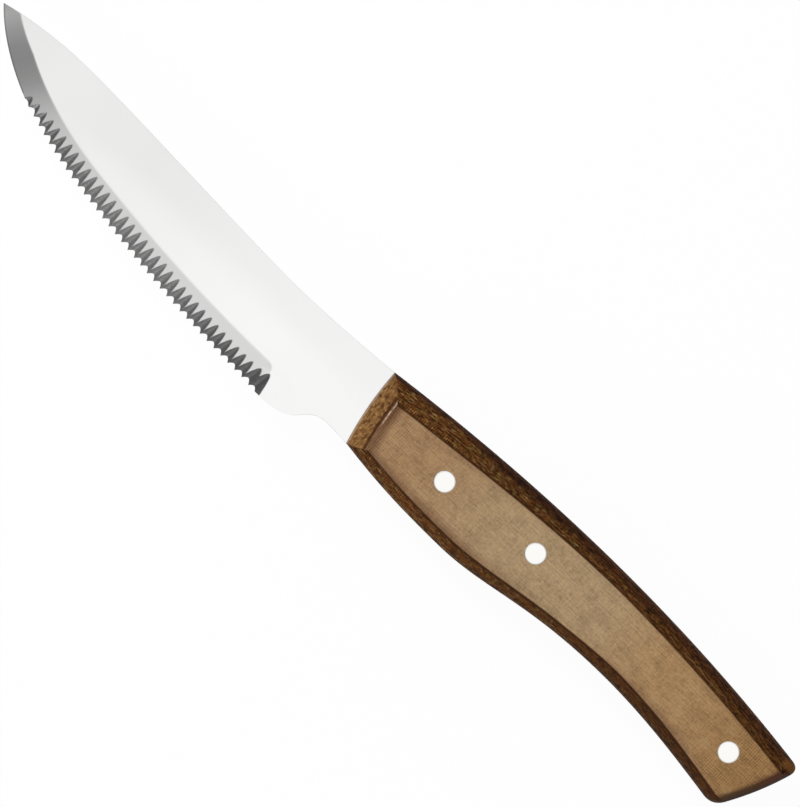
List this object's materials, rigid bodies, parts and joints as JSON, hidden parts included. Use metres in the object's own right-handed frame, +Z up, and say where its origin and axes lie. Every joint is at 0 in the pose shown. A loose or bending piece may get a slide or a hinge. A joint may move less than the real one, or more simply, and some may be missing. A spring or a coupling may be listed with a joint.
{
  "type": "steak knife",
  "caption": "Full-tang steak knife with a curved, serrated blade bevelled to a point and two riveted laminate handle scales with shaped borders.",
  "frame": {"origin": "under the middle of the knife's bounding box, on the surface that the handle lies on", "axes": "+X from the tip to the butt, +Y from the cutting edge to the spine, +Z up through the handle towards its left scale"},
  "size_m": [0.25, 0.029, 0.0122],
  "materials": {
    "blade_steel": "fine satin on the faces, coarser grind on the bevel and in the gullets",
    "scale_laminate": "woven linen and resin laminate, tan flat face, brown sanded border",
    "rivet_metal": "satin, ground flush with the scale"
  },
  "bodies": {
    "root": {"blade": "blade_steel", "left_scale": "scale_laminate", "right_scale": "scale_laminate", "front_rivet_post": "rivet_metal", "middle_rivet_post": "rivet_metal", "rear_rivet_post": "rivet_metal", "front_rivet_barrel": "rivet_metal", "middle_rivet_barrel": "rivet_metal", "rear_rivet_barrel": "rivet_metal"}
  },
  "joints": []
}
